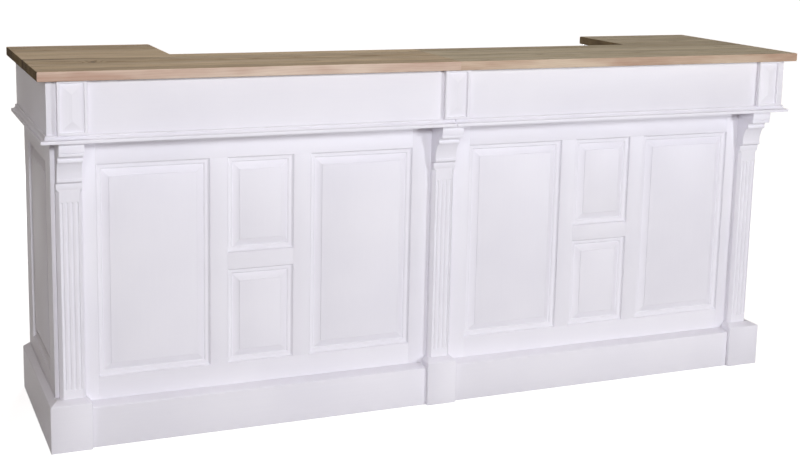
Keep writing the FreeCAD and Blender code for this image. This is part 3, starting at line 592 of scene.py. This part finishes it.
# Flat joinery keeps its solids, with every arris broken by sandpaper and paint. A copy of each is
# welded, rid of the lines between its triangles, and bevelled.
joinery = {
    "arris": 0.9,
    "tightArris": 0.25,        # where two members meet flush and only a hairline shows
    "tight": ("front_frame", "frieze_front", "frieze_end", "soffit", "carcass_rails", "deck"),
    "softArris": 2.0,          # on the plinth, so that its edges catch the light
    "soft": ("baseboard", "plinth_block"),
    "weld": 0.01,              # points of a solid's triangles that are closer than this are one
    "flat": 0.6,               # degrees: a smaller bend is no edge at all
    "corner": 5.0,             # and a larger one has an arris
    "lengthwise": ("frieze_front", "soffit", "baseboard_front", "front_frame_rails", "carcass_rails",
                   "shelf_lower", "shelf_upper", "deck", "plinth_block"),
    "frontToBack": ("frieze_end", "baseboard_end", "shelf_cleats"),
    "unwelded": ("end_frame", "joining_bolts"),   # their solids touch along edges, so they stay as they are
}


def easedCopy(name, material):
    p = joinery
    mesh = nodes[name].data.copy()
    work = bmesh.new()
    work.from_mesh(mesh)
    bmesh.ops.remove_doubles(work, verts=work.verts, dist=p["weld"] * mm)
    bmesh.ops.dissolve_limit(work, angle_limit=math.radians(p["flat"]), verts=work.verts, edges=work.edges)
    for face in work.faces:
        face.smooth = True
    work.to_mesh(mesh)
    work.free()
    mesh.name = name + "_eased"
    piece = addPiece(name + "_eased", mesh, material, name)
    bevel = piece.modifiers.new("arris", "BEVEL")
    width = p["arris"]
    if name.startswith(p["tight"]):
        width = p["tightArris"]
    if name.startswith(p["soft"]):
        width = p["softArris"]
    bevel.width = width * mm
    bevel.segments = 2
    bevel.limit_method = "ANGLE"
    bevel.angle_limit = math.radians(p["corner"])
    bevel.harden_normals = True


for name in sorted(nodes):
    if slotOf[name] == "oak" or name.startswith(("cornice", "panel_mouldings", "corbel", "pilaster")):
        continue               # these have pieces of their own
    material = {"softwood": pine, "zinc": zinc}.get(slotOf[name], lacquerUp)
    if name.startswith(joinery["lengthwise"]):
        material = lacquerAlong
    if name.startswith(joinery["frontToBack"]):
        material = lacquerDeep
    if name.startswith(joinery["unwelded"]):
        nodes[name].data.materials.clear()
        nodes[name].data.materials.append(material)
    else:
        easedCopy(name, material)
print("joinery finished")

worktop = {
    "arris": 2.5,              # radius of the open arrises
    "joint": 0.4,              # and of those where boards meet
    "seamWidth": 1.2, "seamDepth": 0.25,
    "glueLines": (-4, 9),      # a span of counts from the named glue line that covers the whole depth
    "handover": 0.3,           # along this much of the run, beside a wing, the one arris becomes the other
    "margin": 10.0,            # no glue line and no plain station is nearer to an edge than this
    "runStations": 20, "wingStations": 8,
    "steps": 6,
}


# A board is its cross-section in Y and height, carried along X. Its corners are quarter circles whose
# radius may change along X, and each glue line is a shallow V on both faces. Near an end the half
# thickness falls off as a quarter circle, which rounds that end too.
def boardRings(low, high, frontRadius, backRadius, endRadii, stations):
    p = worktop
    middle, half = (low.z + high.z) / 2, (high.z - low.z) / 2
    turn = np.linspace(0, math.pi / 2, p["steps"] + 1)[None, :]
    seams = (oiledOak["seam"] + oiledOak["staveWidth"] * np.arange(*p["glueLines"])) * mm
    seams = seams[(seams > low.y + p["margin"] * mm) & (seams < high.y - p["margin"] * mm)]
    across = (seams[:, None] + p["seamWidth"] * mm * np.array([-0.5, 0, 0.5])).reshape(1, -1)
    notch = np.tile([0, p["seamDepth"] * mm, 0], len(seams))[None, :]
    x = np.unique(stations)[:, None]
    front, back = (np.interp(x, *radius) for radius in (frontRadius, backRadius))
    one = np.ones_like(x)
    y = np.hstack([low.y + front * (1 - np.cos(turn)), one * across, high.y - back * (1 - np.sin(turn))])
    up = np.hstack([half - front * (1 - np.sin(turn)), one * (half - notch),
                    half - back * (1 - np.cos(turn))])
    near = [np.clip(1 - gap / radius, 0, 1) for gap, radius in zip((x - low.x, high.x - x), endRadii)]
    fall = sum(radius * (1 - np.sqrt(1 - share ** 2)) for share, radius in zip(near, endRadii))
    up = up * (half - fall) / half
    y = np.hstack([y, y[:, ::-1]])
    z = middle + np.hstack([up, -up[:, ::-1]])
    return np.stack([np.broadcast_to(x, y.shape), y, z], axis=2), False


for side, sign in sides:
    p = worktop
    arris, joint, margin = p["arris"] * mm, p["joint"] * mm, p["margin"] * mm
    bend = 1 - np.cos(np.linspace(0, math.pi / 2, p["steps"] + 1))
    name = "worktop_front_board_" + side
    low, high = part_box(name)
    wingLow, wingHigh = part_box("worktop_wing_board_" + side)
    inner = wingHigh.x if sign < 0 else wingLow.x          # the wing's inner edge
    radii = (arris, joint) if sign < 0 else (joint, arris)
    places = sorted([(inner, arris), (inner + sign * p["handover"] * mm, joint)])
    stations = np.concatenate([low.x + radii[0] * bend, high.x - radii[1] * bend,
                               [places[0][0], places[1][0]],
                               np.linspace(low.x + margin, high.x - margin, p["runStations"])])
    rings = boardRings(low, high, ([0.0], [arris]), tuple(zip(*places)), radii, stations)
    addPiece("oak_run_" + side, skinMesh("oak_run_" + side, [rings]), oak, name)
    name = "worktop_wing_board_" + side
    stations = np.concatenate([wingLow.x + arris * bend, wingHigh.x - arris * bend,
                               np.linspace(wingLow.x + margin, wingHigh.x - margin, p["wingStations"])])
    rings = boardRings(wingLow, wingHigh, ([0.0], [joint]), ([0.0], [arris]), (arris, arris), stations)
    addPiece("oak_wing_" + side, skinMesh("oak_wing_" + side, [rings]), oak, name)
print("worktop made")

studio = {
    "ambient": 0.07, "ambientColour": "#FFC28A",
    "lampColour": "#F7F9FD",
    "floorBounce": "#A9A7A5", "floorShown": "#F4F4F4", "floorReach": 60.0,
    "nearGlow": 0.72, "farGlow": 1.0, "near": 1.6, "far": 4.5,   # the floor grows to plain white, metres
    "aim": (0, 0, 0.6),
    "softboxes": {             # place, width and height in metres, and watts
        "front": ((-1.55, -5.4, 2.4), 0.6, 0.6, 120.0),
        "right": ((2.6, -4.6, 1.1), 0.6, 0.6, 94.0),
        "left": ((-2.6, -4.2, 2.2), 0.6, 0.6, 35.0),
        "overhead": ((0, -0.6, 4.2), 3.0, 1.4, 43.0),
        "rear": ((0.9, 4.4, 0.75), 1.6, 0.6, 140.0),   # below the worktop
    },
}


# The backdrop and the floor's own glow show only to the camera and in reflections and glass. The floor
# keeps the shadow near the counter.
def showsBackdrop(tree):
    ray = addNode(tree, "LightPath").outputs
    seen = addNode(tree, "Math", {"operation": "MAXIMUM"},
                   {0: ray["Is Camera Ray"], 1: ray["Is Glossy Ray"]})
    return addNode(tree, "Math", {"operation": "MAXIMUM"}, {0: seen, 1: ray["Is Transmission Ray"]})


def makeFloor():
    p = studio
    reach = p["floorReach"]
    mesh = bpy.data.meshes.new("floor")
    mesh.from_pydata([(-reach, -reach, 0), (reach, -reach, 0), (reach, reach, 0), (-reach, reach, 0)], [],
                     [(0, 1, 2, 3)])
    material, tree = newMaterial("pale_studio_floor")
    place = addNode(tree, "TexCoord").outputs["Object"]
    far = addNode(tree, "VectorMath", {"operation": "LENGTH"}, {0: place}).outputs["Value"]
    share = addNode(tree, "MapRange", {"interpolation_type": "SMOOTHSTEP"},
                    {0: far, 1: p["near"], 2: p["far"]})
    nearWhite = addNode(tree, "Emission", inputs={"Strength": p["nearGlow"]})
    farWhite = addNode(tree, "Emission", inputs={"Strength": p["farGlow"]})
    glow = addNode(tree, "MixShader", inputs={0: share, 1: nearWhite, 2: farWhite})
    shown = addNode(tree, "BsdfDiffuse", inputs={"Color": p["floorShown"]})
    lit = addNode(tree, "AddShader", inputs={0: shown, 1: glow})
    bounce = addNode(tree, "BsdfDiffuse", inputs={"Color": p["floorBounce"]})
    surface = addNode(tree, "MixShader", inputs={0: showsBackdrop(tree), 1: bounce, 2: lit})
    addNode(tree, "OutputMaterial", inputs={"Surface": surface})
    mesh.materials.append(material)
    floor = bpy.data.objects.new("floor", mesh)
    bpy.context.scene.collection.objects.link(floor)


def makeWorld():
    world = bpy.data.worlds.new("studio")
    bpy.context.scene.world = world
    world.use_nodes = True
    tree = world.node_tree
    tree.nodes.clear()
    light = addNode(tree, "Background",
                    inputs={"Color": studio["ambientColour"], "Strength": studio["ambient"]})
    white = addNode(tree, "Background", inputs={"Color": "#FFFFFF", "Strength": 1.0})
    surface = addNode(tree, "MixShader", inputs={0: showsBackdrop(tree), 1: light, 2: white})
    addNode(tree, "OutputWorld", inputs={"Surface": surface})


def addSoftbox(name, place, wide, tall, power):
    lamp = bpy.data.lights.new(name, "AREA")
    lamp.shape = "RECTANGLE"
    lamp.size, lamp.size_y, lamp.energy = wide, tall, power
    lamp.color = linearColour(studio["lampColour"])[:3]
    holder = bpy.data.objects.new(name, lamp)
    holder.location = place
    holder.rotation_euler = (Vector(studio["aim"]) - Vector(place)).to_track_quat("-Z", "Y").to_euler()
    bpy.context.scene.collection.objects.link(holder)


makeFloor()
makeWorld()
for name, settings in studio["softboxes"].items():
    addSoftbox(name + "_softbox", *settings)
print("studio lit")

view = {
    "place": (-1.71627, -3.96855, 1.54054),
    "yaw": 0.397267, "pitch": -0.175643, "roll": 0.021738,   # radians
    "lens": 60.80, "sensor": 36.0,   # millimetres
    "shift": -0.0994,
}
ahead = Vector((math.sin(view["yaw"]) * math.cos(view["pitch"]),
                math.cos(view["yaw"]) * math.cos(view["pitch"]), math.sin(view["pitch"])))
level = Vector((math.cos(view["yaw"]), -math.sin(view["yaw"]), 0))
right = level * math.cos(view["roll"]) + level.cross(ahead) * math.sin(view["roll"])
camera = bpy.data.cameras.new("camera")
camera.lens, camera.sensor_width, camera.shift_y = view["lens"], view["sensor"], view["shift"]
eye = bpy.data.objects.new("camera", camera)
eye.matrix_world = Matrix((right, right.cross(ahead), -ahead)).transposed().to_4x4()
eye.location = view["place"]
bpy.context.scene.collection.objects.link(eye)
bpy.context.scene.camera = eye
bpy.context.scene.view_settings.view_transform = "Standard"
